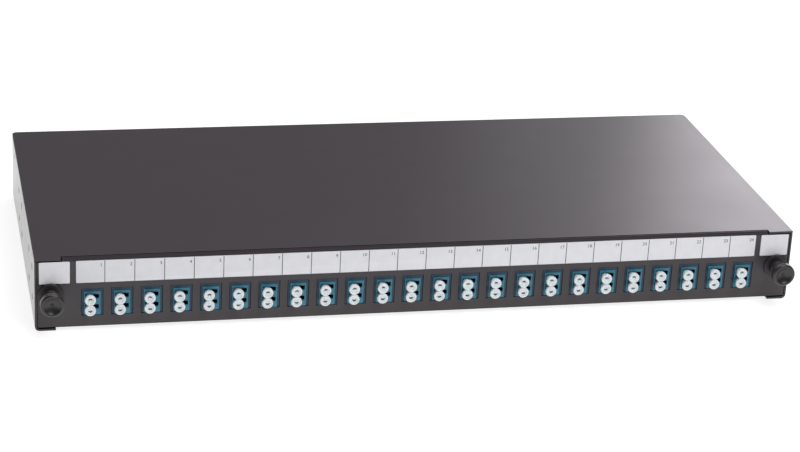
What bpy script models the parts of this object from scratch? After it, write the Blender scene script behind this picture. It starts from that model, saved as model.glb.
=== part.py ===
"""Sliding fibre-optic patch panel, one rack unit high, with 24 duplex adapters in its front.

A folded sheet-steel housing with a screwed cover holds a drawer that runs out forwards on two
channel rails. The drawer's front panel carries the adapters, each closed by a duplex dust cap,
a label strip, and a push-pull plunger at each end that latches into the housing's end flanges.

Metres. +X right, +Y back, +Z up. The origin is the centre of the housing's bottom face.
"""

import bmesh
import bpy
from mathutils import Matrix, Vector

# Overall sizes; the width follows from the row of adapters and the margin at each end
BODY_DEPTH = 0.203
BODY_HEIGHT = 0.043
END_MARGIN = 0.0220
ADAPTERS = 24
ADAPTER_PITCH = 0.0165

# Sheets and fits
SHEET = 0.0012
PANEL_SHEET = 0.0015
GAP = 0.0003
OVERLAP = 0.0003
BEND = 0.0025
BEND_STEPS = 3
RELIEF = 0.0008

# Housing; the web is the steel left between a plunger's hole and the end flange's edge
FLANGE_WEB = 0.0008
FLOOR_NOTCH_DEPTH = 0.004
FLOOR_TAB = 0.0116
BRACKET_HOLE_RADIUS = 0.0022
BRACKET_HOLE_SPACING_Y = 0.0260
BRACKET_HOLE_SPACING_Z = 0.0180
BRACKET_HOLE_SETBACK = 0.0200
BRACKET_HOLE_SIDES = 12
BRACKET_ROWS = 2
BRACKET_ROW_PITCH = 0.0900

# Cover
COVER_SKIRT = 0.0110
COVER_SKIRT_SETBACK = 0.0080
COVER_NOTCH_DEPTH = 0.0035
COVER_CORNER = 0.0030

# Front panel
PANEL_BOTTOM = 0.0021
PANEL_END_GAP = 0.0004
PANEL_LIP = 0.0027

# Label strip
LABEL_THICKNESS = 0.0004
LABEL_TOP_MARGIN = 0.0016
LABEL_BOTTOM_MARGIN = 0.0036
LABEL_END_MARGIN = 0.0007

# Adapters and their dust caps
ADAPTER_FLOOR_GAP = 0.0014
ADAPTER_WIDTH = 0.0091
ADAPTER_HEIGHT = 0.0140
ADAPTER_LENGTH = 0.0262
ADAPTER_FLANGE_THICKNESS = 0.0012
ADAPTER_FLANGE_SEAT = 0.0011
CUTOUT_WEB = 0.0044
CUTOUT_REVEAL_TOP = 0.0020
LATCH_SIDE_SHIFT = 0.0014
PORT_PITCH = 0.00625
PORT_SIZE = 0.0050
PORT_DEPTH = 0.0095
LATCH_SLOT_WIDTH = 0.0024
LATCH_SLOT_REACH = 0.0025
LATCH_SLOT_RISE = 0.0010
CAP_RADIUS = 0.0031
CAP_THICKNESS = 0.0038
CAP_WEB = 0.0026
CAP_PRONG_GAP = 0.0005
CAP_PRONG_LENGTH = 0.0070
CAP_SIDES = 16
CAP_PRONG_SIDES = 10

# Drawer tray, rails and splice cassette
TRAY_REAR_SPACE = 0.0235
TRAY_HEIGHT = 0.0237
TRAY_REAR_HEIGHT = 0.0170
FIBRE_NOTCH = 0.0500
FIBRE_NOTCH_OFFSET = 0.1200
FIBRE_NOTCH_FLOOR = 0.0070
RAIL_LIP = 0.0100
RAIL_REAR_SPACE = 0.0080
CASSETTE_LENGTH = 0.1500
CASSETTE_WIDTH = 0.1000
CASSETTE_HEIGHT = 0.0140
CASSETTE_WALL = 0.0018
CASSETTE_CORNER = 0.0250
HUB_RADIUS = 0.0240
HUB_WALL = 0.0016
HUB_HEIGHT = 0.0064
HUB_SPACING = 0.0900
HUB_SIDES = 28
SPLICE_BLOCK_LENGTH = 0.0300
SPLICE_BLOCK_WIDTH = 0.0420
SPLICE_BLOCK_HEIGHT = 0.0050
SPLICE_SLOTS = 6
SPLICE_SLOT_WIDTH = 0.0028

# Plungers: a turned push-pull knob on a straight shank
PLUNGER_OFFSET = 0.0087
PLUNGER_HEAD_RADIUS = 0.0075
PLUNGER_HEAD_THICKNESS = 0.0042
PLUNGER_REACH = 0.0155
PLUNGER_NECK_RADIUS = 0.0045
PLUNGER_RING = 0.0007
PLUNGER_SHANK_RADIUS = 0.0038
PLUNGER_SHANK_DEPTH = 0.0080
PLUNGER_RING_SETBACK = 0.0012
PLUNGER_DISH = 0.0020
PLUNGER_DISH_SHARE = 0.69
PLUNGER_SIDES = 24

# Cable glands in the rear wall
GLAND_OFFSET = 0.1500
GLAND_THREAD_RADIUS = 0.0100
GLAND_THREAD_LENGTH = 0.0090
GLAND_HEX_SHARE = 1.2
GLAND_HEX_THICKNESS = 0.0050
GLAND_DOME_RADIUS = 0.0115
GLAND_DOME_LENGTH = 0.0140
GLAND_MOUTH_RADIUS = 0.0085
GLAND_BORE_RADIUS = 0.0052
GLAND_SIDES = 24

BODY_WIDTH = ADAPTERS * ADAPTER_PITCH + 2 * END_MARGIN
FRONT = -BODY_DEPTH / 2
REAR = BODY_DEPTH / 2
MID_HEIGHT = BODY_HEIGHT / 2
WALL_TOP = BODY_HEIGHT - SHEET - GAP
PANEL_BACK = FRONT + PANEL_SHEET
FLANGE_FRONT = PANEL_BACK + GAP
END_FLANGE = PLUNGER_OFFSET + PLUNGER_SHANK_RADIUS + FLANGE_WEB
OPENING_HALF = BODY_WIDTH / 2 - SHEET - END_FLANGE
PANEL_HALF = BODY_WIDTH / 2 - SHEET - PANEL_END_GAP
NOTCH_HALF = OPENING_HALF
LIP_HALF = NOTCH_HALF - 2 * GAP
RAIL_OUTER = OPENING_HALF + SHEET - GAP
RAIL_BOTTOM = SHEET + GAP
TRAY_HALF = RAIL_OUTER - SHEET - GAP - 2 * OVERLAP
TRAY_BOTTOM = RAIL_BOTTOM + SHEET + GAP
TRAY_REAR = REAR - TRAY_REAR_SPACE
RAIL_TOP = TRAY_BOTTOM + TRAY_HEIGHT + GAP + SHEET
CUTOUT_REVEAL_WIDTH = (ADAPTER_PITCH - ADAPTER_WIDTH - CUTOUT_WEB) / 2
FLANGE_HALF_WIDTH = ADAPTER_WIDTH / 2 + CUTOUT_REVEAL_WIDTH + ADAPTER_FLANGE_SEAT
FLANGE_HALF_HEIGHT = ADAPTER_HEIGHT / 2 + CUTOUT_REVEAL_TOP + ADAPTER_FLANGE_SEAT
ADAPTER_CENTRE_HEIGHT = TRAY_BOTTOM + SHEET + ADAPTER_FLOOR_GAP + FLANGE_HALF_HEIGHT
LABEL_BOTTOM = ADAPTER_CENTRE_HEIGHT + ADAPTER_HEIGHT / 2 + CUTOUT_REVEAL_TOP + LABEL_BOTTOM_MARGIN
LABEL_TOP = BODY_HEIGHT - LABEL_TOP_MARGIN
PORT_HEIGHTS = (-PORT_PITCH / 2, PORT_PITCH / 2)
CAP_PRONG_RADIUS = PORT_SIZE / 2 - CAP_PRONG_GAP
GLAND_HEX_RADIUS = GLAND_DOME_RADIUS * GLAND_HEX_SHARE
CASSETTE_CENTRE_Y = (FRONT + ADAPTER_LENGTH + TRAY_REAR - SHEET) / 2
CUT = 0.002


def clear_scene():
    for obj in list(bpy.data.objects):
        bpy.data.objects.remove(obj, do_unlink=True)


def new_collection(name):
    collection = bpy.data.collections.new(name)
    bpy.context.scene.collection.children.link(collection)
    return collection


def material(name, colour, roughness, metallic=0.0):
    made = bpy.data.materials.new(name)
    made.use_nodes = True
    shader = made.node_tree.nodes["Principled BSDF"]
    shader.inputs["Base Color"].default_value = (*colour, 1.0)
    shader.inputs["Roughness"].default_value = roughness
    shader.inputs["Metallic"].default_value = metallic
    return made


def add_box(bm, low, high):
    low, high = Vector(low), Vector(high)
    size = high - low
    place = Matrix.Translation((low + high) / 2) @ Matrix.Diagonal((*size, 1.0))
    return bmesh.ops.create_cube(bm, size=1.0, matrix=place)["verts"]


def add_cylinder(bm, start, end, radius, sides, end_radius=None):
    """A closed cylinder or cone from start to end."""
    start, end = Vector(start), Vector(end)
    along = end - start
    turn = along.to_track_quat("Z", "Y").to_matrix().to_4x4()
    bmesh.ops.create_cone(
        bm, cap_ends=True, segments=sides, radius1=radius,
        radius2=radius if end_radius is None else end_radius, depth=along.length,
        matrix=Matrix.Translation((start + end) / 2) @ turn)


def make_object(name, bm, collection, look=None):
    mesh = bpy.data.meshes.new(name)
    bm.normal_update()
    bm.to_mesh(mesh)
    bm.free()
    obj = bpy.data.objects.new(name, mesh)
    collection.objects.link(obj)
    if look:
        mesh.materials.append(look)
    return obj


def make_tool(name, shapes):
    """A cutter or an added piece: boxes as (low, high), cylinders as (start, end, radius, sides)."""
    bm = bmesh.new()
    for shape in shapes:
        if len(shape) == 2:
            add_box(bm, *shape)
        else:
            add_cylinder(bm, *shape)
    tool = make_object(name, bm, cutters)
    tool.hide_render = True
    tool.display_type = "WIRE"
    return tool


def combine(obj, operation, name, shapes):
    modifier = obj.modifiers.new(name, "BOOLEAN")
    modifier.operation = operation
    modifier.object = make_tool(f"{obj.name}_{name}", shapes)


def cut(obj, name, shapes):
    combine(obj, "DIFFERENCE", name, shapes)


def join(obj, name, shapes):
    combine(obj, "UNION", name, shapes)


def thicken(obj, thickness):
    """Give an open surface its sheet thickness, inwards."""
    modifier = obj.modifiers.new("sheet", "SOLIDIFY")
    modifier.thickness = thickness
    modifier.offset = -1.0
    modifier.use_even_offset = True


def round_edges(bm, edges, radius, steps=BEND_STEPS):
    bmesh.ops.bevel(bm, geom=edges, offset=radius, segments=steps, profile=0.5, affect="EDGES")


def folded_sheet(low, high, open_sides, radius, steps=BEND_STEPS):
    """The faces of a box without its open sides, with a bend where two faces meet."""
    bm = bmesh.new()
    add_box(bm, low, high)
    bm.normal_update()
    open_normals = [Vector(side) for side in open_sides]
    gone = [f for f in bm.faces if any(f.normal.dot(side) > 0.9 for side in open_normals)]
    bmesh.ops.delete(bm, geom=gone, context="FACES")
    round_edges(bm, [e for e in bm.edges if len(e.link_faces) == 2], radius, steps)
    return bm


def bake(obj):
    """The object's finished mesh; the object and its cutters are removed."""
    bpy.context.view_layer.update()
    evaluated = obj.evaluated_get(bpy.context.evaluated_depsgraph_get())
    mesh = bpy.data.meshes.new_from_object(evaluated)
    tools = [m.object for m in obj.modifiers if m.type == "BOOLEAN"]
    for gone in [*tools, obj]:
        bpy.data.objects.remove(gone, do_unlink=True)
    return mesh


def attach(obj, parent):
    obj.parent = parent


def make_empty(name, location):
    empty = bpy.data.objects.new(name, None)
    empty.location = location
    panel.objects.link(empty)
    return empty


def both_sides(x, shape):
    """The shape at +x and mirrored at -x, for a shape given as a function of the side."""
    return [shape(side * x) for side in (-1, 1)]


def make_housing():
    half = BODY_WIDTH / 2
    bm = folded_sheet((-half, FRONT, 0), (half, REAR, WALL_TOP), [(0, 0, 1), (0, -1, 0)], BEND)
    housing = make_object("housing", bm, panel, coat)
    thicken(housing, SHEET)
    outer = half - SHEET + OVERLAP
    flanges = []
    for side in (-1, 1):
        xs = sorted((side * OPENING_HALF, side * outer))
        flanges.append(((xs[0], FLANGE_FRONT, SHEET - OVERLAP),
                        (xs[1], FLANGE_FRONT + SHEET, WALL_TOP - RELIEF)))
    join(housing, "end_flanges", flanges)
    notch = half - FLOOR_TAB
    cut(housing, "floor_notch", [
        ((-notch, FRONT - CUT, -CUT), (notch, FRONT + FLOOR_NOTCH_DEPTH, SHEET + CUT))])
    holes = both_sides(plunger_x(), lambda x: (
        (x, FLANGE_FRONT - CUT, MID_HEIGHT), (x, FLANGE_FRONT + SHEET + CUT, MID_HEIGHT),
        PLUNGER_SHANK_RADIUS + 1.5 * GAP, PLUNGER_SIDES))
    cut(housing, "plunger_holes", holes)
    cut(housing, "gland_holes", both_sides(GLAND_OFFSET, lambda x: (
        (x, REAR - SHEET - CUT, MID_HEIGHT), (x, REAR + CUT, MID_HEIGHT),
        GLAND_THREAD_RADIUS + GAP, GLAND_SIDES)))
    cut(housing, "bracket_holes", bracket_holes())
    return housing


def bracket_holes():
    """Screw holes for rack brackets, in groups of four on each side wall."""
    holes = []
    for side in (-1, 1):
        for row in range(BRACKET_ROWS):
            start_y = FRONT + BRACKET_HOLE_SETBACK + row * BRACKET_ROW_PITCH
            for y in (start_y, start_y + BRACKET_HOLE_SPACING_Y):
                for step in (-0.5, 0.5):
                    z = BODY_HEIGHT / 2 + step * BRACKET_HOLE_SPACING_Z
                    holes.append((
                        (side * (BODY_WIDTH / 2 - SHEET - CUT / 4), y, z),
                        (side * (BODY_WIDTH / 2 + CUT), y, z), BRACKET_HOLE_RADIUS, BRACKET_HOLE_SIDES))
    return holes


def make_cover():
    half = BODY_WIDTH / 2
    bm = bmesh.new()
    add_box(bm, (-half, FRONT, BODY_HEIGHT - SHEET), (half, REAR, BODY_HEIGHT))
    rear_corners = [e for e in bm.edges if all(v.co.y > 0 for v in e.verts)
                    and abs(e.verts[0].co.z - e.verts[1].co.z) > SHEET / 2]
    round_edges(bm, rear_corners, COVER_CORNER)
    cover = make_object("top_cover", bm, panel, coat_cover)
    cut(cover, "front_notch", [
        ((-NOTCH_HALF, FRONT - CUT, BODY_HEIGHT - SHEET - CUT),
         (NOTCH_HALF, FRONT + COVER_NOTCH_DEPTH, BODY_HEIGHT + CUT))])
    outer = half - SHEET - GAP
    skirts = []
    for side in (-1, 1):
        xs = sorted((side * (outer - SHEET), side * outer))
        skirts.append(((xs[0], FRONT + COVER_SKIRT_SETBACK, BODY_HEIGHT - SHEET - COVER_SKIRT),
                       (xs[1], REAR - COVER_SKIRT_SETBACK, BODY_HEIGHT - SHEET + OVERLAP)))
    join(cover, "skirts", skirts)
    return cover


def port_x(index):
    return (index - (ADAPTERS - 1) / 2) * ADAPTER_PITCH


def plunger_x():
    return BODY_WIDTH / 2 - PLUNGER_OFFSET


def adapter_cutouts():
    """Openings of the front panel, each an adapter's outline with a reveal at its sides and top."""
    half_width = ADAPTER_WIDTH / 2 + CUTOUT_REVEAL_WIDTH
    bottom = ADAPTER_CENTRE_HEIGHT - ADAPTER_HEIGHT / 2 - GAP
    top = ADAPTER_CENTRE_HEIGHT + ADAPTER_HEIGHT / 2 + CUTOUT_REVEAL_TOP
    shapes = []
    for index in range(ADAPTERS):
        middle = port_x(index) + LATCH_SIDE_SHIFT
        shapes.append(((middle - half_width, FRONT - CUT, bottom),
                       (middle + half_width, PANEL_BACK + CUT, top)))
    return shapes


def make_front_panel():
    bm = folded_sheet(
        (-PANEL_HALF, FRONT, PANEL_BOTTOM), (PANEL_HALF, FRONT + PANEL_LIP, BODY_HEIGHT),
        [(0, 1, 0), (0, 0, -1), (-1, 0, 0), (1, 0, 0)], PANEL_SHEET + GAP, 2)
    front = make_object("front_panel", bm, panel, coat_front)
    thicken(front, PANEL_SHEET)
    end_top = WALL_TOP - GAP
    ends = []
    for side in (-1, 1):
        xs = sorted((side * LIP_HALF, side * (PANEL_HALF + CUT)))
        ends.append(((xs[0], FRONT - CUT, end_top), (xs[1], FRONT + PANEL_LIP + CUT, BODY_HEIGHT + CUT)))
    cut(front, "ends", ends)
    cut(front, "adapter_cutouts", adapter_cutouts())
    cut(front, "plunger_holes", both_sides(plunger_x(), lambda x: (
        (x, FRONT - CUT, MID_HEIGHT), (x, PANEL_BACK + CUT, MID_HEIGHT),
        PLUNGER_SHANK_RADIUS + GAP, PLUNGER_SIDES)))
    return front


def make_label_strip():
    half = ADAPTERS * ADAPTER_PITCH / 2 - LABEL_END_MARGIN
    bm = bmesh.new()
    add_box(bm, (-half, FRONT - GAP - LABEL_THICKNESS, LABEL_BOTTOM),
            (half, FRONT - GAP, LABEL_TOP))
    return make_object("label_strip", bm, panel, label_white)


def adapter_mesh():
    """One duplex adapter about the middle of its front ports, its front face at Y = 0."""
    centre = LATCH_SIDE_SHIFT
    half_width, half_height = ADAPTER_WIDTH / 2, ADAPTER_HEIGHT / 2
    bm = bmesh.new()
    add_box(bm, (centre - half_width, 0, -half_height), (centre + half_width, ADAPTER_LENGTH, half_height))
    adapter = make_object("adapter", bm, panel, adapter_teal)
    flange_front = FLANGE_FRONT - FRONT
    join(adapter, "flange", [
        ((centre - FLANGE_HALF_WIDTH, flange_front, -FLANGE_HALF_HEIGHT),
         (centre + FLANGE_HALF_WIDTH, flange_front + ADAPTER_FLANGE_THICKNESS, FLANGE_HALF_HEIGHT))])
    half = PORT_SIZE / 2
    front_ports = []
    for z in PORT_HEIGHTS:
        front_ports.append(((-half, -CUT, z - half), (half, PORT_DEPTH, z + half)))
    cut(adapter, "front_ports", front_ports)
    slots = []
    for z in PORT_HEIGHTS:
        middle = z + LATCH_SLOT_RISE
        slots.append(((half - OVERLAP, -CUT, middle - LATCH_SLOT_WIDTH / 2),
                      (half + LATCH_SLOT_REACH, PORT_DEPTH, middle + LATCH_SLOT_WIDTH / 2)))
    cut(adapter, "latch_slots", slots)
    reach = PORT_PITCH / 2 + half
    cut(adapter, "rear_ports", [
        ((-half, ADAPTER_LENGTH - PORT_DEPTH, -reach), (half, ADAPTER_LENGTH + CUT, reach))])
    return bake(adapter)


def cap_mesh():
    """A duplex dust cap: two round heads on a web, each with a prong that fills a port."""
    top, bottom = (Vector((0, 0, z)) for z in reversed(PORT_HEIGHTS))
    face, back = Vector((0, -GAP - CAP_THICKNESS, 0)), Vector((0, -GAP, 0))
    bm = bmesh.new()
    add_box(bm, (-CAP_WEB / 2, face.y + OVERLAP, bottom.z), (CAP_WEB / 2, back.y - OVERLAP, top.z))
    cap = make_object("cap", bm, panel, cap_white)
    for name, middle in (("top_head", top), ("bottom_head", bottom)):
        join(cap, name, [(middle + face, middle + back, CAP_RADIUS, CAP_SIDES)])
    tip = Vector((0, CAP_PRONG_LENGTH, 0))
    join(cap, "prongs", [(middle + back - Vector((0, OVERLAP, 0)), middle + tip, CAP_PRONG_RADIUS,
                          CAP_PRONG_SIDES)
                         for middle in (top, bottom)])
    return bake(cap)


def make_adapters():
    adapter, cap = adapter_mesh(), cap_mesh()
    for index in range(ADAPTERS):
        place = Vector((port_x(index), FRONT, ADAPTER_CENTRE_HEIGHT))
        for name, mesh in (("lc_adapter", adapter), ("dust_cap", cap)):
            obj = bpy.data.objects.new(f"{name}_{index + 1:02d}", mesh)
            obj.location = place
            panel.objects.link(obj)
            attach(obj, drawer)


def make_tray():
    low = (-TRAY_HALF, FLANGE_FRONT + RELIEF, TRAY_BOTTOM)
    high = (TRAY_HALF, TRAY_REAR, TRAY_BOTTOM + TRAY_HEIGHT)
    bm = folded_sheet(low, high, [(0, 0, 1), (0, -1, 0)], BEND)
    tray = make_object("drawer_tray", bm, panel, zinc_tray)
    thicken(tray, SHEET)
    tabs = []
    tab_start = port_x(ADAPTERS - 1) + LATCH_SIDE_SHIFT + FLANGE_HALF_WIDTH + GAP
    for side in (-1, 1):
        xs = sorted((side * tab_start, side * (TRAY_HALF - SHEET + OVERLAP)))
        tabs.append(((xs[0], FLANGE_FRONT, TRAY_BOTTOM + SHEET - OVERLAP),
                     (xs[1], FLANGE_FRONT + SHEET, TRAY_BOTTOM + TRAY_HEIGHT - RELIEF)))
    join(tray, "front_tabs", tabs)
    rear = high[1]
    inside = TRAY_HALF - 2 * BEND
    cut(tray, "rear_rim", [
        ((-inside, rear - SHEET - CUT, TRAY_BOTTOM + TRAY_REAR_HEIGHT),
         (inside, rear + CUT, high[2] + CUT))])
    notches = []
    for side in (-1, 1):
        middle = side * FIBRE_NOTCH_OFFSET
        notches.append(((middle - FIBRE_NOTCH / 2, rear - SHEET - CUT, TRAY_BOTTOM + FIBRE_NOTCH_FLOOR),
                        (middle + FIBRE_NOTCH / 2, rear + CUT, high[2] + CUT)))
    cut(tray, "fibre_notches", notches)
    return tray


def make_rail(side):
    """A channel that opens towards the tray and stands on the housing's floor."""
    name = "slide_rail_right" if side > 0 else "slide_rail_left"
    xs = sorted((side * (RAIL_OUTER - SHEET - RAIL_LIP), side * RAIL_OUTER))
    start = FLANGE_FRONT + SHEET + GAP
    bm = folded_sheet(
        (xs[0], start, RAIL_BOTTOM), (xs[1], REAR - SHEET - RAIL_REAR_SPACE, RAIL_TOP),
        [(0, 1, 0), (0, -1, 0), (-side, 0, 0)], SHEET + GAP, 2)
    rail = make_object(name, bm, panel, zinc_rail)
    thicken(rail, SHEET)
    return rail


def make_cassette():
    """A shallow splice tray with two fibre hubs and a slotted splice block between them."""
    bottom = TRAY_BOTTOM + SHEET + GAP
    middle = Vector((0, CASSETTE_CENTRE_Y, bottom))
    half = Vector((CASSETTE_LENGTH / 2, CASSETTE_WIDTH / 2, 0))
    top = bottom + CASSETTE_HEIGHT
    bm = bmesh.new()
    add_box(bm, middle - half, Vector((half.x, CASSETTE_CENTRE_Y + half.y, top)))
    lid = [f for f in bm.faces if f.normal.z > 0.9 or all(abs(v.co.z - top) < OVERLAP for v in f.verts)]
    bmesh.ops.delete(bm, geom=lid, context="FACES")
    corners = [e for e in bm.edges if abs(e.verts[0].co.z - e.verts[1].co.z) > CASSETTE_HEIGHT / 2]
    round_edges(bm, corners, CASSETTE_CORNER, 5)
    cassette = make_object("splice_cassette", bm, panel, cassette_grey)
    thicken(cassette, CASSETTE_WALL)
    floor = bottom + CASSETTE_WALL
    hubs = [(Vector((side * HUB_SPACING / 2, CASSETTE_CENTRE_Y, floor - OVERLAP)),
             Vector((side * HUB_SPACING / 2, CASSETTE_CENTRE_Y, floor + HUB_HEIGHT)), HUB_RADIUS, HUB_SIDES)
            for side in (-1, 1)]
    join(cassette, "hubs", hubs)
    cut(cassette, "hub_hollows", [
        (start + Vector((0, 0, 2 * OVERLAP)), end + Vector((0, 0, CUT)), HUB_RADIUS - HUB_WALL, HUB_SIDES)
        for start, end, _, _ in hubs])
    block = Vector((SPLICE_BLOCK_LENGTH / 2, SPLICE_BLOCK_WIDTH / 2, 0))
    centre = Vector((0, CASSETTE_CENTRE_Y, floor))
    join(cassette, "splice_block", [
        (centre - block - Vector((0, 0, OVERLAP)), centre + block + Vector((0, 0, SPLICE_BLOCK_HEIGHT)))])
    slots = []
    pitch = SPLICE_BLOCK_WIDTH / SPLICE_SLOTS
    for index in range(SPLICE_SLOTS):
        y = CASSETTE_CENTRE_Y + (index - (SPLICE_SLOTS - 1) / 2) * pitch
        slots.append(((-block.x - OVERLAP, y - SPLICE_SLOT_WIDTH / 2, floor + SPLICE_SLOT_WIDTH / 2),
                      (block.x + OVERLAP, y + SPLICE_SLOT_WIDTH / 2, floor + SPLICE_BLOCK_HEIGHT + CUT)))
    cut(cassette, "splice_slots", slots)
    return cassette


def plunger_profile():
    """Radius and distance in front of the panel, from the dished face to the tip of the shank."""
    face = PLUNGER_REACH
    head_back = face - PLUNGER_HEAD_THICKNESS
    neck_end = GAP
    neck, ring = PLUNGER_NECK_RADIUS, PLUNGER_RING
    first_ring, second_ring = head_back - PLUNGER_RING_SETBACK, (head_back + neck_end) / 2
    rim = PLUNGER_HEAD_RADIUS
    tip = -PLUNGER_SHANK_DEPTH
    shank = PLUNGER_SHANK_RADIUS
    dish = rim * PLUNGER_DISH_SHARE
    profile = [(0, face - PLUNGER_DISH), (dish * 0.65, face - PLUNGER_DISH * 0.8), (dish, face),
               (rim - ring, face), (rim, face - ring), (rim, head_back), (neck, head_back)]
    for middle in (first_ring, second_ring):
        profile += [(neck, middle + ring), (neck + ring, middle), (neck, middle - ring)]
    profile += [(neck, neck_end), (shank, neck_end), (shank, tip + shank / 2), (shank / 2, tip), (0, tip)]
    return profile


def make_plunger(side):
    name = "plunger_right" if side > 0 else "plunger_left"
    mesh = bpy.data.meshes.new(name)
    points = [(radius, -reach, 0) for radius, reach in plunger_profile()]
    mesh.from_pydata(points, [(i, i + 1) for i in range(len(points) - 1)], [])
    plunger = bpy.data.objects.new(name, mesh)
    panel.objects.link(plunger)
    mesh.materials.append(knob_black)
    screw = plunger.modifiers.new("turn", "SCREW")
    screw.axis = "Y"
    screw.steps = PLUNGER_SIDES
    screw.render_steps = PLUNGER_SIDES
    screw.use_merge_vertices = True
    screw.merge_threshold = 0.00001
    screw.use_normal_flip = True
    screw.use_smooth_shade = True
    plunger.location = (side * plunger_x(), FRONT, MID_HEIGHT)
    return plunger


def make_gland(side):
    """Thread, hexagon and tapered nut on one axis, bored through for the cable."""
    name = "cable_gland_right" if side > 0 else "cable_gland_left"
    hex_back = REAR + GAP
    thread_end = REAR - SHEET - GLAND_THREAD_LENGTH
    nut_start = hex_back + GLAND_HEX_THICKNESS
    nut_end = nut_start + GLAND_DOME_LENGTH
    x, z = side * GLAND_OFFSET, MID_HEIGHT

    def at(y):
        return Vector((x, y, z))

    bm = bmesh.new()
    add_cylinder(bm, at(hex_back), at(nut_start), GLAND_HEX_RADIUS, 6)
    gland = make_object(name, bm, panel, gland_black)
    join(gland, "thread", [(at(thread_end), at(hex_back + OVERLAP), GLAND_THREAD_RADIUS, GLAND_SIDES)])
    join(gland, "nut", [(at(nut_start - OVERLAP), at(nut_end), GLAND_DOME_RADIUS, GLAND_SIDES,
                         GLAND_MOUTH_RADIUS)])
    cut(gland, "bore", [(at(thread_end - CUT), at(nut_end + CUT), GLAND_BORE_RADIUS, GLAND_SIDES)])
    return gland


clear_scene()
panel = new_collection("patch_panel")
cutters = new_collection("cutters")

coat = material("black_powder_coat_housing", (0.035, 0.033, 0.036), 0.45)
coat_cover = material("black_powder_coat_cover", (0.035, 0.033, 0.036), 0.45)
coat_front = material("black_powder_coat_front", (0.030, 0.028, 0.030), 0.50)
label_white = material("white_label", (0.80, 0.80, 0.82), 0.50)
adapter_teal = material("aqua_adapter_plastic", (0.03, 0.19, 0.26), 0.35)
cap_white = material("white_cap_plastic", (0.82, 0.85, 0.87), 0.40)
zinc_tray = material("zinc_plated_tray", (0.62, 0.62, 0.60), 0.40, 1.0)
zinc_rail = material("zinc_plated_rail", (0.58, 0.58, 0.56), 0.40, 1.0)
cassette_grey = material("grey_cassette_plastic", (0.20, 0.20, 0.21), 0.50)
knob_black = material("black_knob_plastic", (0.020, 0.020, 0.022), 0.25)
gland_black = material("black_gland_plastic", (0.020, 0.020, 0.021), 0.50)

drawer = make_empty("drawer", (0, 0, 0))
make_housing()
make_cover()
for slider in (make_front_panel(), make_label_strip(), make_tray(), make_cassette()):
    attach(slider, drawer)
make_adapters()
for side in (-1, 1):
    make_rail(side)
    make_gland(side)
    attach(make_plunger(side), drawer)
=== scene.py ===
"""Looks of the sliding fibre patch panel: finer pieces, materials, stage, lights and camera.

Metres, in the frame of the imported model: +X right, +Y back, +Z up, the origin under the middle.
"""

import math

import bmesh
import bpy
from mathutils import Matrix, Vector


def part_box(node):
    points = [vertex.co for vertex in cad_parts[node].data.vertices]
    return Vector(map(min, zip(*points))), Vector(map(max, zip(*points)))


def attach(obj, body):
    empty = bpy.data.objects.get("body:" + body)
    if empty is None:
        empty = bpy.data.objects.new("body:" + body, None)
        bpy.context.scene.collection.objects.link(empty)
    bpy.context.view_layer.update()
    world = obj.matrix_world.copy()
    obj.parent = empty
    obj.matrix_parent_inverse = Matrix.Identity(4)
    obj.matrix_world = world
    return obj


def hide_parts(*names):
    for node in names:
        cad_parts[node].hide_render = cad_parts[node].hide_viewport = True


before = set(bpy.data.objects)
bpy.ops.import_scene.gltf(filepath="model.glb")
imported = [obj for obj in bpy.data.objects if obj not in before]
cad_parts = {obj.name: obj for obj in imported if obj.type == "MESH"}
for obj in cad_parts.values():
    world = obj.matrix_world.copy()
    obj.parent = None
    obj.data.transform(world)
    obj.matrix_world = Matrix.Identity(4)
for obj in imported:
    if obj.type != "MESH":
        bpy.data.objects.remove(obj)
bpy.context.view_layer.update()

MM = 0.001
ADAPTERS = 24
PORT_PITCH = 6.25 * MM
LATCH_SHIFT = 1.4 * MM
BODY_HALF_WIDTH = 4.55 * MM
BODY_HALF_HEIGHT = 7.0 * MM
GUIDE_X = 140 * MM
GUIDE_Y = 45 * MM
CARD_THICKNESS = 0.45 * MM
CARD_CORNER = 0.5 * MM
INK_FRONT = 0.47 * MM
INK_BACK = 0.40 * MM
LINE_HALF_WIDTH = 0.2 * MM
LINE_END_MARGIN = 0.1 * MM
END_LABEL_GAP = 3.4 * MM
END_LABEL_MARGIN = 0.9 * MM
NUMBER_SIZE = 2.7 * MM
KNOB_INSET = 0.8 * MM
KNOB_LENGTH = 4.2 * MM
CAP_HEAD_DEPTH = 1.5 * MM
CAP_HOLE_REACH = 1.2 * MM
GLAND_BODY_LENGTH = 5.3 * MM
GLAND_NUT_START = 5.6 * MM
LID_GAP = 0.3 * MM
LID_TOP = 1.5 * MM
LID_CORNER = 25 * MM
CAMERA_PLACE = (-0.2950, -1.2986, 0.5570)
CAMERA_YAW_PITCH_ROLL = (13.116, 22.206, 2.968)
CAMERA_LENS = 106.25


# ---------------------------------------------------------------- materials

def new_material(name, colour, roughness, metallic=0.0, **inputs):
    """A material with its Principled shader; inputs are the shader's sockets by name."""
    made = bpy.data.materials.new(name)
    made.use_nodes = True
    shader = made.node_tree.nodes["Principled BSDF"]
    shader.inputs["Base Color"].default_value = (*colour, 1.0)
    shader.inputs["Roughness"].default_value = roughness
    shader.inputs["Metallic"].default_value = metallic
    for socket, value in inputs.items():
        shader.inputs[socket.replace("_", " ")].default_value = value
    return made, shader


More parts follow.
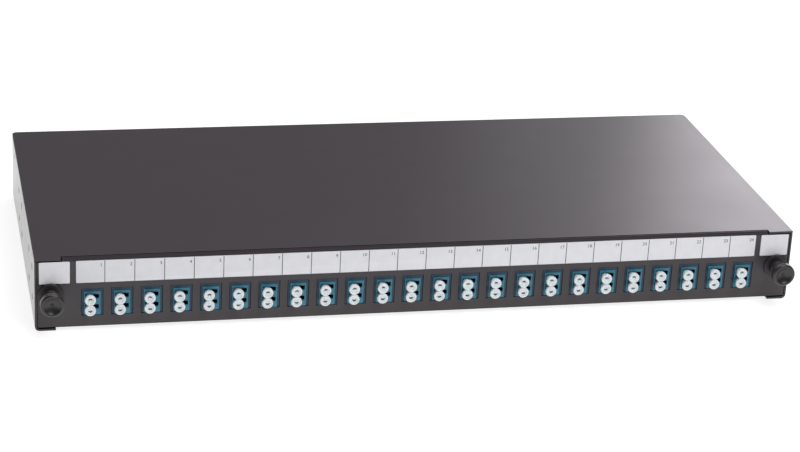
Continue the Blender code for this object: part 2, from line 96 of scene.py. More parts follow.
def noise(made, scale, detail=3.0, stretch=(1, 1, 1)):
    """A noise texture in the object's own metres; scale is in waves per metre."""
    nodes, links = made.node_tree.nodes, made.node_tree.links
    place = nodes.new("ShaderNodeTexCoord")
    mapping = nodes.new("ShaderNodeMapping")
    mapping.inputs["Scale"].default_value = stretch
    texture = nodes.new("ShaderNodeTexNoise")
    texture.inputs["Scale"].default_value = scale
    texture.inputs["Detail"].default_value = detail
    links.new(place.outputs["Object"], mapping.inputs["Vector"])
    links.new(mapping.outputs["Vector"], texture.inputs["Vector"])
    return texture.outputs["Fac"]


def vary_roughness(made, shader, fac, low, high):
    ramp = made.node_tree.nodes.new("ShaderNodeMapRange")
    ramp.inputs["To Min"].default_value = low
    ramp.inputs["To Max"].default_value = high
    made.node_tree.links.new(fac, ramp.inputs["Value"])
    made.node_tree.links.new(ramp.outputs["Result"], shader.inputs["Roughness"])


def vary_colour(made, shader, fac, dark, light):
    mix = made.node_tree.nodes.new("ShaderNodeMix")
    mix.data_type = "RGBA"
    mix.inputs["A"].default_value = (*dark, 1.0)
    mix.inputs["B"].default_value = (*light, 1.0)
    made.node_tree.links.new(fac, mix.inputs["Factor"])
    made.node_tree.links.new(mix.outputs["Result"], shader.inputs["Base Color"])


def add_bump(made, shader, fac, height, strength=1.0):
    bump = made.node_tree.nodes.new("ShaderNodeBump")
    bump.inputs["Strength"].default_value = strength
    bump.inputs["Distance"].default_value = height
    made.node_tree.links.new(fac, bump.inputs["Height"])
    made.node_tree.links.new(bump.outputs["Normal"], shader.inputs["Normal"])


def powder_coat(name, colour, roughness):
    """Semi-gloss powder coat: an orange-peel bump under a slight change of gloss."""
    made, shader = new_material(name, colour, roughness, IOR=1.5)
    light = tuple(c * 1.18 for c in colour)
    vary_colour(made, shader, noise(made, 60, 4), colour, light)
    vary_roughness(made, shader, noise(made, 25, 3), roughness - 0.03, roughness + 0.04)
    add_bump(made, shader, noise(made, 1500, 2), 0.00002, 0.5)
    return made


def dull_upward_faces(made, shader):
    """Lowers the gloss of faces that look up; set only to match the dark lip in the photo."""
    nodes, links = made.node_tree.nodes, made.node_tree.links
    split = nodes.new("ShaderNodeSeparateXYZ")
    ramp = nodes.new("ShaderNodeMapRange")
    for socket, value in (("From Min", 0.35), ("From Max", 0.85), ("To Min", 0.5), ("To Max", 0.04)):
        ramp.inputs[socket].default_value = value
    links.new(nodes.new("ShaderNodeNewGeometry").outputs["Normal"], split.inputs["Vector"])
    links.new(split.outputs["Z"], ramp.inputs["Value"])
    links.new(ramp.outputs["Result"], shader.inputs["Specular IOR Level"])


def moulded(name, colour, roughness, grain=900, height=0.000012, **inputs):
    """Moulded plastic: a faint mottle, a fine grain and a slightly uneven gloss."""
    made, shader = new_material(name, colour, roughness, **inputs)
    light = tuple(min(1.0, c * 1.12) for c in colour)
    vary_colour(made, shader, noise(made, 180, 2), colour, light)
    vary_roughness(made, shader, noise(made, 120, 2), roughness - 0.04, roughness + 0.05)
    add_bump(made, shader, noise(made, grain, 2), height, 0.6)
    return made


def plated(name, colour, roughness, stretch):
    """Plated metal: cloudy changes of gloss, and rolling lines where the stretch is uneven."""
    made, shader = new_material(name, colour, roughness, 1.0)
    dark = tuple(c * 0.82 for c in colour)
    vary_colour(made, shader, noise(made, 35, 5), dark, colour)
    vary_roughness(made, shader, noise(made, 260, 4, stretch), roughness - 0.08, roughness + 0.12)
    add_bump(made, shader, noise(made, 900, 3, stretch), 0.00001, 0.4)
    return made


# The cover, walls and front are one powder coat. The walls' and front's colours are painted a little
# lighter than the cover's, as painted light for the light those faces get.
coat = powder_coat("powder_coat", (0.037, 0.029, 0.036), 0.33)
coat_walls_painted_lighter = powder_coat("powder_coat_walls", (0.040, 0.032, 0.037), 0.17)
coat_front_painted_lighter = powder_coat("powder_coat_front", (0.043, 0.036, 0.041), 0.38)
dull_upward_faces(coat_front_painted_lighter, coat_front_painted_lighter.node_tree.nodes["Principled BSDF"])
card = moulded("label_card", (0.83, 0.83, 0.87), 0.42, grain=700)
ink = moulded("print_ink", (0.045, 0.045, 0.05), 0.6)
aqua = moulded("aqua_plastic", (0.030, 0.190, 0.270), 0.30)
# A darker copy of the aqua plastic: painted shade for the flange in its recess behind the panel and for the
# insides of the ports and slots.
aqua_painted_shade = moulded("aqua_plastic_painted_shade", (0.003, 0.036, 0.078), 0.34)
ceramic = moulded("zirconia_ceramic", (0.82, 0.81, 0.78), 0.18)
cap_white = moulded("white_cap_plastic", (0.83, 0.87, 0.90), 0.30, Subsurface_Weight=0.12,
                    Subsurface_Scale=0.002)
# Grey painted into the dust caps' holes: painted shade in place of the shade of their depth.
cap_hole_painted_shade = moulded("shaded_cap_core", (0.36, 0.38, 0.39), 0.45)
knob_black = moulded("black_nylon_gloss", (0.012, 0.010, 0.011), 0.38, IOR=1.65)
neck_black = moulded("black_nylon_satin", (0.026, 0.022, 0.025), 0.45)
nylon = moulded("black_nylon_matt", (0.022, 0.022, 0.023), 0.48, grain=1300, height=0.00002)
rubber = moulded("seal_rubber", (0.012, 0.012, 0.012), 0.75, grain=1600)
zinc = plated("zinc_sheet", (0.66, 0.66, 0.64), 0.34, (1, 0.06, 1))
steel = plated("steel_screw", (0.55, 0.55, 0.56), 0.28, (1, 1, 1))
cassette_grey = moulded("grey_abs", (0.13, 0.135, 0.14), 0.45)
lid_clear = moulded("smoke_polycarbonate", (0.60, 0.63, 0.66), 0.08, Transmission_Weight=0.92, IOR=1.58)


# ---------------------------------------------------------------- mesh helpers

def add_box(bm, low, high):
    low, high = Vector(low), Vector(high)
    place = Matrix.Translation((low + high) / 2) @ Matrix.Diagonal((*(high - low), 1.0))
    bmesh.ops.create_cube(bm, size=1.0, matrix=place)


def add_cylinder(bm, start, end, radius, sides=32):
    start, end = Vector(start), Vector(end)
    turn = (end - start).to_track_quat("Z", "Y").to_matrix().to_4x4()
    bmesh.ops.create_cone(
        bm, cap_ends=True, segments=sides, radius1=radius, radius2=radius, depth=(end - start).length,
        matrix=Matrix.Translation((start + end) / 2) @ turn)


def shape_object(name, shapes):
    """One mesh of boxes (low, high) and cylinders (start, end, radius[, sides])."""
    bm = bmesh.new()
    for shape in shapes:
        if len(shape) == 2:
            add_box(bm, *shape)
        else:
            add_cylinder(bm, *shape)
    mesh = bpy.data.meshes.new(name)
    bm.to_mesh(mesh)
    bm.free()
    obj = bpy.data.objects.new(name, mesh)
    bpy.context.scene.collection.objects.link(obj)
    return obj


def carve(obj, operation, shapes, look=None):
    tool = shape_object(obj.name + "_tool", shapes)
    if look:
        tool.data.materials.append(look)
    modifier = obj.modifiers.new("carve", "BOOLEAN")
    modifier.operation = operation
    modifier.object = tool
    modifier.material_mode = "TRANSFER"
    return tool


def soften(obj, width, segments=2):
    bevel = obj.modifiers.new("edges", "BEVEL")
    bevel.width = width
    bevel.segments = segments
    bevel.limit_method = "ANGLE"
    bevel.angle_limit = math.radians(40)
    bevel.harden_normals = False
    bevel.use_clamp_overlap = True


def finished(obj, smooth_angle=35):
    """Applies the object's modifiers, removes their tools, and shades round parts smooth."""
    bpy.context.view_layer.update()
    evaluated = obj.evaluated_get(bpy.context.evaluated_depsgraph_get())
    mesh = bpy.data.meshes.new_from_object(evaluated)
    tools = [m.object for m in obj.modifiers if m.type == "BOOLEAN"]
    obj.modifiers.clear()
    old = obj.data
    obj.data = mesh
    bpy.data.meshes.remove(old)
    for tool in tools:
        bpy.data.objects.remove(tool, do_unlink=True)
    mesh.shade_smooth()
    mesh.set_sharp_from_angle(angle=math.radians(smooth_angle))
    return obj


def copy_of(master, name, place):
    obj = bpy.data.objects.new(name, master.data)
    obj.location = place
    bpy.context.scene.collection.objects.link(obj)
    return obj


def turned(name, profile, sides, axis="Y"):
    """A turned solid: profile points are (radius, place along the axis)."""
    mesh = bpy.data.meshes.new(name)
    points = [(radius, along, 0) if axis == "Y" else (radius, 0, along) for radius, along in profile]
    mesh.from_pydata(points, [(i, i + 1) for i in range(len(points) - 1)], [])
    obj = bpy.data.objects.new(name, mesh)
    bpy.context.scene.collection.objects.link(obj)
    screw = obj.modifiers.new("turn", "SCREW")
    screw.axis = axis
    screw.steps = sides
    screw.render_steps = sides
    screw.use_merge_vertices = True
    screw.merge_threshold = 0.000001
    screw.use_normal_calculate = True
    return obj


def arc(middle, radius, start, end, steps):
    """Points of an arc in the profile's plane; angles in degrees."""
    points = []
    for step in range(steps + 1):
        angle = math.radians(start + (end - start) * step / steps)
        points.append((middle[0] + radius * math.cos(angle), middle[1] + radius * math.sin(angle)))
    return points


def dress(node, look, bevel=0.0):
    """Gives a CAD node its material and, if asked, a fine rounding of its edges."""
    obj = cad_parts[node]
    obj.data.materials.clear()
    obj.data.materials.append(look)
    if bevel:
        weld = obj.modifiers.new("weld", "WELD")
        weld.merge_threshold = 0.00001
        soften(obj, bevel)
    return obj


# ---------------------------------------------------------------- adapters and caps

def port_heights():
    return (-PORT_PITCH / 2, PORT_PITCH / 2)


def adapter_master(size):
    """A duplex adapter about the middle of its two front ports, front face at Y = 0."""
    length = size.y
    body = shape_object("adapter_master", [
        ((LATCH_SHIFT - BODY_HALF_WIDTH, 0, -BODY_HALF_HEIGHT),
         (LATCH_SHIFT + BODY_HALF_WIDTH, length, BODY_HALF_HEIGHT))])
    body.data.materials.append(aqua)
    port, slot = 2.5 * MM, 1.2 * MM
    depth, rise = 9.5 * MM, 1.0 * MM
    mouth, bore = 0.8 * MM, 2.1 * MM
    carve(body, "DIFFERENCE", [
        ((-port, -MM, z - port), (port, mouth, z + port)) for z in port_heights()], aqua)
    # The bores, rear ports and latch slots take the aqua's darker copy, painted shade for the shade inside
    # them.
    carve(body, "DIFFERENCE", [((0, -MM, z), (0, depth, z), bore) for z in port_heights()], aqua_painted_shade)
    carve(body, "DIFFERENCE", [
        ((-port, length - depth, z - port), (port, length + MM, z + port)) for z in port_heights()], aqua_painted_shade)
    for ends in ((-MM, depth), (length - depth, length + MM)):
        carve(body, "DIFFERENCE", [
            ((port - 0.2 * MM, ends[0], z + rise - slot), (port + 2.5 * MM, ends[1], z + rise + slot))
            for z in port_heights()], aqua_painted_shade)
    soften(body, 0.18 * MM)
    finished(body)
    return body


def flange_master(size):
    """The mounting flange, in the aqua plastic's darker copy as painted shade: a collar in the cut-out, a
    plate behind it and lugs on its back.
    """
    half_w, half_h = size.x / 2, size.z / 2
    start, end = 1.8 * MM, 3.0 * MM
    body_w, body_h = BODY_HALF_WIDTH + 0.03 * MM, BODY_HALF_HEIGHT + 0.03 * MM
    flange = shape_object("flange_master", [
        ((LATCH_SHIFT - half_w, start, -half_h), (LATCH_SHIFT + half_w, end, half_h))])
    flange.data.materials.append(aqua_painted_shade)
    carve(flange, "UNION", [
        ((LATCH_SHIFT - body_w - 0.9 * MM, end - 0.1 * MM, -body_h - 0.9 * MM),
         (LATCH_SHIFT + body_w + 0.9 * MM, end + 1.4 * MM, body_h + 0.9 * MM))])
    carve(flange, "UNION", [
        ((LATCH_SHIFT - body_w - 1.2 * MM, 0.4 * MM, -body_h),
         (LATCH_SHIFT + body_w + 1.2 * MM, start + 0.1 * MM, body_h + 1.7 * MM))])
    carve(flange, "DIFFERENCE", [
        ((LATCH_SHIFT - body_w, 0, -body_h), (LATCH_SHIFT + body_w, end + 3 * MM, body_h))])
    soften(flange, 0.15 * MM)
    finished(flange)
    return flange


def sleeve_master():
    """A ceramic sleeve that stands in the middle of a port."""
    sleeve = turned("sleeve_master", [
        (1.27 * MM, 3.2 * MM), (1.62 * MM, 3.2 * MM), (1.62 * MM, 9.6 * MM), (1.27 * MM, 9.6 * MM),
        (1.27 * MM, 3.2 * MM)], 24)
    sleeve.data.materials.append(ceramic)
    finished(sleeve)
    return sleeve


def clip_master():
    """A bent steel spring on the top or bottom face of an adapter; a guess, as it is hidden."""
    clip = shape_object("clip_master", [((-2.2 * MM, 3.6 * MM, 0), (2.2 * MM, 12.5 * MM, 0.3 * MM))])
    clip.data.materials.append(steel)
    carve(clip, "UNION", [((-2.2 * MM, 3.6 * MM, 0.1 * MM), (2.2 * MM, 4.0 * MM, 1.5 * MM))])
    soften(clip, 0.08 * MM)
    finished(clip)
    return clip


def cap_master(face):
    """One head of a dust cap, its stem and its hollow prong; the head's front is at Y = face."""
    back = -0.3 * MM
    head = turned("cap_master", [
        (0, face + CAP_HEAD_DEPTH), (1.1 * MM, face + CAP_HEAD_DEPTH), (1.15 * MM, face + 0.6 * MM),
        (1.3 * MM, face + 0.42 * MM), (1.75 * MM, face + 0.38 * MM), (2.05 * MM, face + 0.08 * MM),
        (2.3 * MM, face), *arc((2.6 * MM, face + 0.5 * MM), 0.5 * MM, -90, 0, 4),
        (3.1 * MM, face + 1.3 * MM), (2.9 * MM, face + CAP_HEAD_DEPTH), (2.2 * MM, face + CAP_HEAD_DEPTH),
        (2.1 * MM, back), (1.95 * MM, back), (1.95 * MM, 6.6 * MM),
        (1.8 * MM, 7.0 * MM), (1.65 * MM, 7.0 * MM), (1.65 * MM, 1.5 * MM), (0, 1.5 * MM)], 40)
    head.data.materials.append(cap_white)
    head.data.materials.append(cap_hole_painted_shade)
    finished(head, 30)
    # Faces inside the hole take the grey painted shade in place of the darkness of its depth.
    for polygon in head.data.polygons:
        middle = polygon.center
        in_hole = math.hypot(middle.x, middle.z) < CAP_HOLE_REACH
        if in_hole and face + 0.5 * MM < middle.y < 0:
            polygon.material_index = 1
    return head


def cap_pair(name, head, web, place):
    """The two heads and their web in one mesh, placed about the middle of the ports."""
    bm = bmesh.new()
    for z in port_heights():
        part = head.data.copy()
        part.transform(Matrix.Translation((0, 0, z)))
        bm.from_mesh(part)
        bpy.data.meshes.remove(part)
    bm.from_mesh(web.data)
    mesh = bpy.data.meshes.new(name)
    bm.to_mesh(mesh)
    bm.free()
    mesh.materials.append(cap_white)
    mesh.materials.append(cap_hole_painted_shade)
    obj = bpy.data.objects.new(name, mesh)
    obj.location = place
    bpy.context.scene.collection.objects.link(obj)
    return obj


def port_places():
    """The middle of each adapter's ports on the panel's front plane, by its two-digit number."""
    places = {}
    for index in range(ADAPTERS):
        number = f"{index + 1:02d}"
        low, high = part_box(f"lc_adapter_{number}")
        middle = (low + high) / 2
        places[number] = Vector((middle.x - LATCH_SHIFT, low.y, middle.z))
    return places


def make_adapters():
    low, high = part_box("lc_adapter_01")
    masters = [adapter_master(high - low), flange_master(high - low), sleeve_master(), clip_master()]
    body, flange, sleeve, clip = masters
    length = (high - low).y
    for number, place in port_places().items():
        node = f"lc_adapter_{number}"
        main = copy_of(body, f"adapter_body_{number}", place)
        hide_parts(node)
        ring = copy_of(flange, f"adapter_flange_{number}", place)
        pieces = [(main, "adapter"), (ring, "adapter")]
        for index, z in enumerate(port_heights()):
            for end in ("front", "rear"):
                piece = copy_of(sleeve, f"sleeve_{number}_{index + 1}_{end}", place + Vector((0, 0, z)))
                if end == "rear":
                    piece.location.y += length
                    piece.rotation_euler.x = math.pi
                pieces.append((piece, "cap"))
        for side, label in ((1, "top"), (-1, "bottom")):
            seat = place + Vector((LATCH_SHIFT, 0, side * BODY_HALF_HEIGHT))
            spring = copy_of(clip, f"clip_{label}_{number}", seat)
            spring.rotation_euler.y = 0 if side > 0 else math.pi
            pieces.append((spring, "zinc"))
        for piece, slot_name in pieces:
            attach(piece, "drawer")
    for master in masters:
        bpy.data.objects.remove(master, do_unlink=True)


def make_caps():
    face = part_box("dust_cap_01")[0].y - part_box("lc_adapter_01")[0].y
    head = cap_master(face)
    web = shape_object("web_master", [
        ((-1.3 * MM, face + 0.5 * MM, -PORT_PITCH / 2), (1.3 * MM, face + 1.4 * MM, PORT_PITCH / 2))])
    soften(web, 0.3 * MM)
    finished(web)
    for number, place in port_places().items():
        cap = cap_pair(f"duplex_cap_{number}", head, web, place)
        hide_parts(f"dust_cap_{number}")
        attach(cap, f"cap_{number}")
    for master in (head, web):
        bpy.data.objects.remove(master, do_unlink=True)


# ---------------------------------------------------------------- labels

def outline_card(name, low, high, thickness, corner):
    """A thin card standing on a front plane, its corners rounded; low and high are (x, z)."""
    card_object = shape_object(name, [((low[0], -thickness, low[1]), (high[0], 0, high[1]))])
    bm = bmesh.new()
    bm.from_mesh(card_object.data)
    uprights = [e for e in bm.edges if abs(e.verts[0].co.y - e.verts[1].co.y) > thickness / 2]
    bmesh.ops.bevel(bm, geom=uprights, offset=corner, segments=4, profile=0.5, affect="EDGES")
    bm.to_mesh(card_object.data)
    bm.free()
    return card_object


def make_labels():
    low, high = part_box("label_strip")
    panel_low, panel_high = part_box("front_panel")
    front = panel_low.y - 0.02 * MM
    strip = outline_card("label_card_strip", (low.x, low.z), (high.x, high.z), CARD_THICKNESS, CARD_CORNER)
    strip.location.y = front
    strip.data.materials.append(card)
    soften(strip, 0.08 * MM)
    finished(strip)
    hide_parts("label_strip")
    pieces = [(strip, "label")]
    ports = [place.x for place in port_places().values()]
    ends = [(before + after) / 2 for before, after in zip(ports, ports[1:])]
    lines = shape_object("label_lines", [
        ((x - LINE_HALF_WIDTH, front - INK_FRONT, low.z + LINE_END_MARGIN),
         (x + LINE_HALF_WIDTH, front - INK_BACK, high.z - LINE_END_MARGIN))
        for x in ends])
    lines.data.materials.append(ink)
    pieces.append((lines, "knob"))
    for side, label in ((-1, "left"), (1, "right")):
        inner, outer = high.x + END_LABEL_GAP, panel_high.x - END_LABEL_MARGIN
        xs = sorted((side * inner, side * outer))
        end_low, end_high = (xs[0], low.z), (xs[1], high.z - 0.2 * MM)
        end = outline_card(f"label_end_{label}", end_low, end_high, CARD_THICKNESS, CARD_CORNER)
        end.location.y = front
        end.data.materials.append(card)
        soften(end, 0.08 * MM)
        finished(end)
        pieces.append((end, "label"))
    pieces.append((make_numbers([*ends, high.x], high.z, front), "knob"))
    for piece, slot_name in pieces:
        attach(piece, "drawer")


def make_numbers(ends, top, front):
    """Port numbers 1 to 24, each near the top right of its field, in one mesh; ends are in X."""
    bm = bmesh.new()
    for index, end in enumerate(ends):
        curve = bpy.data.curves.new("number", "FONT")
        curve.body = str(index + 1)
        curve.size = NUMBER_SIZE
        curve.align_x = "RIGHT"
        curve.extrude = 0.015 * MM
        curve.resolution_u = 2
        text = bpy.data.objects.new("number", curve)
        text.matrix_world = (
            Matrix.Translation((end - 1.3 * MM, front - INK_FRONT, top - 3.6 * MM))
            @ Matrix.Rotation(math.pi / 2, 4, "X"))
        bpy.context.scene.collection.objects.link(text)
        bpy.context.view_layer.update()
        evaluated = text.evaluated_get(bpy.context.evaluated_depsgraph_get())
        mesh = bpy.data.meshes.new_from_object(evaluated)
        mesh.transform(text.matrix_world)
        bm.from_mesh(mesh)
        bpy.data.meshes.remove(mesh)
        bpy.data.objects.remove(text, do_unlink=True)
        bpy.data.curves.remove(curve)
    bmesh.ops.remove_doubles(bm, verts=bm.verts, dist=0.0000005)
    numbers = shape_object("port_numbers", [])
    bm.to_mesh(numbers.data)
    bm.free()
    numbers.data.materials.clear()
    numbers.data.materials.append(ink)
    return numbers


# ---------------------------------------------------------------- plungers

def make_plungers():
    panel_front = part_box("front_panel")[0].y
    for side in ("left", "right"):
        low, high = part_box(f"plunger_{side}")
        x, z = (low.x + high.x) / 2, (low.z + high.z) / 2
        reach, tip = panel_front - low.y, high.y - panel_front
        radius = (high.x - low.x) / 2 - KNOB_INSET
        knob = turned(f"plunger_knob_{side}", plunger_profile(radius, reach, tip), 72)
        knob.data.materials.append(knob_black)
        knob.data.materials.append(neck_black)
        finished(knob, 30)
        neck_start = KNOB_LENGTH - reach
        for face in knob.data.polygons:
            if face.center.y > neck_start:
                face.material_index = 1
        knob.location = (x, panel_front, z)
        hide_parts(f"plunger_{side}")
        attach(knob, f"plunger_{side}")
        bush = turned(f"plunger_bush_{side}", [
            (4.4 * MM, -0.05 * MM), (4.4 * MM, -1.7 * MM), (5.6 * MM, -1.7 * MM),
            *arc((6.6 * MM, -1.1 * MM), 0.6 * MM, -90, 0, 4), (7.2 * MM, -0.05 * MM),
            (4.4 * MM, -0.05 * MM)], 56)
        bush.data.materials.append(neck_black)
        finished(bush, 30)
        bush.location = (x, panel_front, z)
        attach(bush, "drawer")


def plunger_profile(radius, reach, tip):
    """From the middle of the dished face round the head, down the ringed neck to the shank's tip."""
    face = -reach
    ring, dish = 1.15 * MM, 2.2 * MM
    ring_middle = radius - ring
    inner = ring_middle - ring * math.cos(math.radians(30))
    lip = ring * (1 - math.sin(math.radians(30)))
    nub = 0.9 * MM
    points = [(0, face + dish - 0.5 * MM), (0.5 * MM, face + dish - 0.45 * MM),
              (nub, face + dish - 0.05 * MM)]
    for step in range(1, 9):
        r = nub + (inner - nub) * step / 8
        points.append((r, face + dish - (dish - lip) * (r / inner) ** 2))
    points += arc((ring_middle, face + ring), ring, -150, 0, 10)
    head_back = face + KNOB_LENGTH
    points += [(radius, head_back - 0.6 * MM), (radius - 0.5 * MM, head_back),
               (4.9 * MM, head_back + 0.1 * MM)]
    neck = 4.4 * MM
    for glint in (head_back + 1.1 * MM, head_back + 5.4 * MM):
        points += [(neck, glint - 0.6 * MM), *arc((neck, glint), 0.55 * MM, -80, 80, 6),
                   (neck, glint + 0.6 * MM)]
    shank = 3.75 * MM
    points += [(neck, -2.0 * MM), (4.1 * MM, -1.8 * MM), (shank, -1.8 * MM), (shank, tip - 1.9 * MM),
               (1.9 * MM, tip), (0, tip)]
    return points


# ---------------------------------------------------------------- glands and fasteners

def make_glands():
    for side in ("left", "right"):
        low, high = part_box(f"cable_gland_{side}")
        x, z = (low.x + high.x) / 2, (low.z + high.z) / 2
        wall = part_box("housing")[1].y
        length = high.y - wall
        hexagon = shape_object(f"gland_body_{side}", [
            ((x, wall + 0.3 * MM, z), (x, wall + GLAND_BODY_LENGTH, z), 13.8 * MM, 6)])
        hexagon.data.materials.append(nylon)
        carve(hexagon, "UNION", [((x, low.y, z), (x, wall + 6.5 * MM, z), 9.9 * MM, 48)])
        carve(hexagon, "DIFFERENCE", [((x, low.y - MM, z), (x, high.y, z), 7.4 * MM, 48)])
        soften(hexagon, 0.5 * MM, 3)
        finished(hexagon)
        nut = turned(f"gland_nut_{side}", gland_nut_profile(GLAND_NUT_START, length), 60)
        carve(nut, "DIFFERENCE", [
            ((math.cos(a) * 12.0 * MM, 5 * MM, math.sin(a) * 12.0 * MM),
             (math.cos(a) * 11.6 * MM, length - 5 * MM, math.sin(a) * 11.6 * MM), 0.9 * MM, 10)
            for a in (math.tau * i / 12 for i in range(12))])
        nut.data.materials.append(nylon)
        finished(nut, 30)
        nut.location = (x, wall, z)
        seal = turned(f"gland_seal_{side}", [
            (5.25 * MM, length - 0.8 * MM), (6.4 * MM, length - 0.6 * MM), (7.3 * MM, length - 1.4 * MM),
            (7.3 * MM, 2 * MM), (5.25 * MM, 2 * MM), (5.25 * MM, length - 0.8 * MM)], 48)
        seal.data.materials.append(rubber)
        finished(seal, 30)
        seal.location = (x, wall, z)
        lock = shape_object(f"gland_lock_nut_{side}", [
            ((x, wall - 5.4 * MM, z), (x, wall - 1.5 * MM, z), 13.2 * MM, 6)])
        lock.data.materials.append(nylon)
        carve(lock, "DIFFERENCE", [((x, wall - 9 * MM, z), (x, wall, z), 9.95 * MM, 48)])
        soften(lock, 0.4 * MM)
        finished(lock)
        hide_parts(f"cable_gland_{side}")
        for piece in (hexagon, nut, seal, lock):
            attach(piece, "housing_body")


def gland_nut_profile(start, length):
    return [(9.0 * MM, start), (11.5 * MM, start), (11.5 * MM, start + 5.5 * MM),
            *arc((8.6 * MM, length - 3.0 * MM), 2.9 * MM, 0, 90, 6), (7.4 * MM, length), (7.4 * MM, start),
            (9.0 * MM, start)]


def screw_master(radius, height):
    """A low domed head with a cross recess; its underside is at Z = 0."""
    head = turned("screw_master", [
        (0, height), (radius * 0.5, height * 0.93), (radius * 0.85, height * 0.55), (radius, height * 0.1),
        (radius, 0), (0, 0)], 32, "Z")
    arm, slot = radius * 0.55, radius * 0.13
    carve(head, "DIFFERENCE", [((-arm, -slot, height * 0.35), (arm, slot, height * 2))])
    carve(head, "DIFFERENCE", [((-slot, -arm, height * 0.35), (slot, arm, height * 2))])
    head.data.materials.append(steel)
    return finished(head, 30)


def place_screws(master, prefix, spots, outward, body):
    """Copies of the screw at each spot, heads facing outward."""
    turn = Vector(outward).to_track_quat("Z", "Y")
    for index, spot in enumerate(spots):
        screw = copy_of(master, f"{prefix}_{index + 1}", spot)
        screw.rotation_mode = "QUATERNION"
        screw.rotation_quaternion = turn
        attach(screw, body)


def make_fasteners():
    low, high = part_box("housing")
    flush = screw_master(2.6 * MM, 0.24 * MM)
    raised = screw_master(2.7 * MM, 1.3 * MM)
    side_z = high.z - 5.5 * MM
    side_ys = [low.y + (high.y - low.y) * share for share in (0.12, 0.5, 0.88)]
    for side, label, x in ((-1, "left", low.x), (1, "right", high.x)):
        place_screws(flush, f"cover_screw_{label}", [(x, y, side_z) for y in side_ys], (side, 0, 0),
                     "housing_body")
    rail_low, rail_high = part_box("slide_rail_left")
    rail_x, rail_y = (rail_low.x + rail_high.x) / 2, rail_high.y - 4.3 * MM
    for side, label in ((1, "left"), (-1, "right")):
        spots = [(side * rail_x, rail_y, rail_low.z + 1.25 * MM)]
        place_screws(raised, f"rail_rivet_{label}", spots, (0, 0, 1), "housing_body")
    cas_low, cas_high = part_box("splice_cassette")
    cas_y, floor = (cas_low.y + cas_high.y) / 2, cas_low.z + 1.85 * MM
    out_x, out_y = 26 * MM, 40 * MM
    spots = [(side * out_x, cas_y + end * out_y, floor) for side in (-1, 1) for end in (-1, 1)]
    place_screws(raised, "cassette_screw", spots, (0, 0, 1), "drawer")
    for master in (flush, raised):
        bpy.data.objects.remove(master, do_unlink=True)


def make_drawer_fittings():
    """Clear cassette lid and the fibre guides that stand on the tray."""
    low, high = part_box("splice_cassette")
    lid = shape_object("cassette_lid", [
        ((low.x, low.y, high.z + LID_GAP), (high.x, high.y, high.z + LID_TOP))])
    bm = bmesh.new()
    bm.from_mesh(lid.data)
    uprights = [e for e in bm.edges if abs(e.verts[0].co.z - e.verts[1].co.z) > 0.6 * MM]
    bmesh.ops.bevel(bm, geom=uprights, offset=LID_CORNER, segments=10, profile=0.5, affect="EDGES")
    bm.to_mesh(lid.data)
    bm.free()
    lid.data.materials.append(lid_clear)
    soften(lid, 0.3 * MM)
    finished(lid)
    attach(lid, "drawer")
    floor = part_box("drawer_tray")[0].z + 1.2 * MM
    for side, label in ((-1, "left"), (1, "right")):
        for index, y in enumerate((-GUIDE_Y, GUIDE_Y)):
            x = side * GUIDE_X
            guide = shape_object(f"fibre_guide_{label}_{index + 1}", [
                ((x - 9 * MM, y - 4 * MM, floor + 0.1 * MM), (x + 9 * MM, y + 4 * MM, floor + 14 * MM))])
            guide.data.materials.append(cassette_grey)
            carve(guide, "DIFFERENCE", [
                ((x - 7 * MM, y - 5 * MM, floor + 2 * MM), (x + 7 * MM, y + 5 * MM, floor + 12 * MM))])
            carve(guide, "DIFFERENCE", [
                ((x - 1.5 * MM, y - 5 * MM, floor + 11 * MM), (x + 1.5 * MM, y + 5 * MM, floor + 16 * MM))])
            soften(guide, 0.5 * MM)
            finished(guide)
            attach(guide, "drawer")


def dress_cad_nodes():
    dress("housing", coat_walls_painted_lighter, 0.15 * MM)
    dress("top_cover", coat, 0.12 * MM)
    dress("front_panel", coat_front_painted_lighter, 0.15 * MM)
    dress("drawer_tray", zinc)
    dress("slide_rail_left", zinc)
    dress("slide_rail_right", zinc)
    dress("splice_cassette", cassette_grey)


# ---------------------------------------------------------------- stage, lights, camera

def make_stage():
    bm = bmesh.new()
    bmesh.ops.create_grid(bm, x_segments=1, y_segments=1, size=6.0)
    mesh = bpy.data.meshes.new("floor")
    bm.to_mesh(mesh)
    bm.free()
    floor = bpy.data.objects.new("floor", mesh)
    floor.location.z = -0.3 * MM
    bpy.context.scene.collection.objects.link(floor)
    made, shader = new_material("floor_white", (0.4, 0.4, 0.4), 0.9)
    shader.inputs["Emission Color"].default_value = (1, 1, 1, 1)
    shader.inputs["Emission Strength"].default_value = 0.82
    floor.data.materials.append(made)


def area_light(name, place, target, size, radiance, colour=(1, 1, 1)):
    """A soft box of even brightness; radiance is in the units in which a lit white floor is 1."""
    light = bpy.data.lights.new(name, "AREA")
    light.shape = "RECTANGLE"
    light.size, light.size_y = size
    light.energy = radiance * math.pi * size[0] * size[1]
    light.color = colour
    obj = bpy.data.objects.new(name, light)
    obj.location = place
    obj.rotation_mode = "QUATERNION"
    obj.rotation_quaternion = (Vector(target) - Vector(place)).to_track_quat("-Z", "Y")
    obj.visible_camera = False
    bpy.context.scene.collection.objects.link(obj)


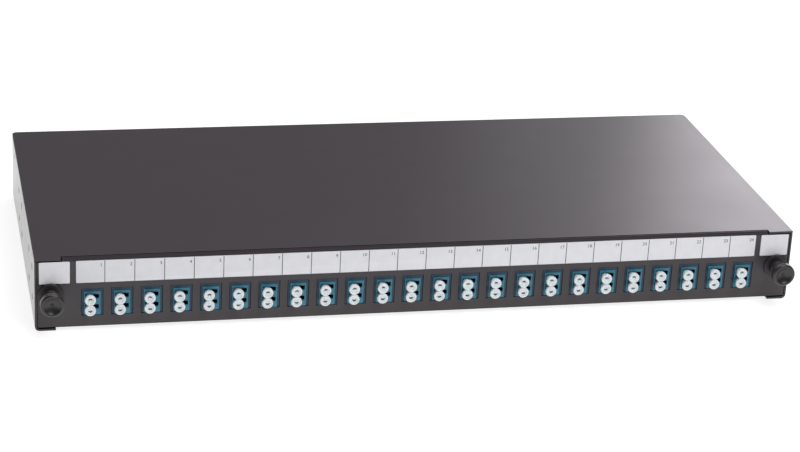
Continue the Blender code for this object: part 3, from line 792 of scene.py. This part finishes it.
def make_lights():
    """A key at the front right, an overhead box, boxes behind for the cover, one for the left wall."""
    world = bpy.data.worlds.new("studio")
    world.use_nodes = True
    world.node_tree.nodes["Background"].inputs["Color"].default_value = (0.97, 0.97, 1.0, 1.0)
    world.node_tree.nodes["Background"].inputs["Strength"].default_value = 0.08
    bpy.context.scene.world = world
    area_light("key_box", (0.6, -0.9, 1.9), (0, 0, 0), (1.2, 1.2), 5.4)
    area_light("overhead_box", (-0.2, 0.9, 2.0), (0, 0, 0), (2.0, 1.5), 1.6)
    area_light("back_glow", (-0.6, 2.2, 1.0), (-0.6, 0, 0.6), (2.8, 1.6), 0.18)
    area_light("sheen_edge", (0.49, 1.2, 0.5), (0.49, 0, 0.3), (0.22, 0.8), 0.45)
    area_light("sheen_box", (1.12, 1.2, 0.5), (1.12, 0, 0.3), (1.0, 0.8), 4.25, (1.0, 0.965, 1.01))
    area_light("side_box", (-1.3, 0.9, 0.35), (-0.22, 0, 0.02), (1.2, 0.7), 1.2, (1.0, 0.96, 0.93))


def make_camera():
    """Long lens from the front left, looking down on the panel."""
    data = bpy.data.cameras.new("camera")
    data.lens = CAMERA_LENS
    data.sensor_width = 36
    camera = bpy.data.objects.new("camera", data)
    yaw, pitch, roll = (math.radians(angle) for angle in CAMERA_YAW_PITCH_ROLL)
    level = math.cos(pitch)
    forward = Vector((math.sin(yaw) * level, math.cos(yaw) * level, -math.sin(pitch)))
    right = Vector((math.cos(yaw), -math.sin(yaw), 0))
    up = right.cross(forward)
    across = right * math.cos(roll) + up * math.sin(roll)
    above = up * math.cos(roll) - right * math.sin(roll)
    turn = Matrix((across, above, -forward)).transposed().to_4x4()
    camera.matrix_world = Matrix.Translation(CAMERA_PLACE) @ turn
    bpy.context.scene.collection.objects.link(camera)
    bpy.context.scene.camera = camera


bpy.context.scene.view_settings.view_transform = "Standard"
dress_cad_nodes()
make_adapters()
make_caps()
make_labels()
make_plungers()
make_glands()
make_fasteners()
make_drawer_fittings()
make_stage()
make_lights()
make_camera()
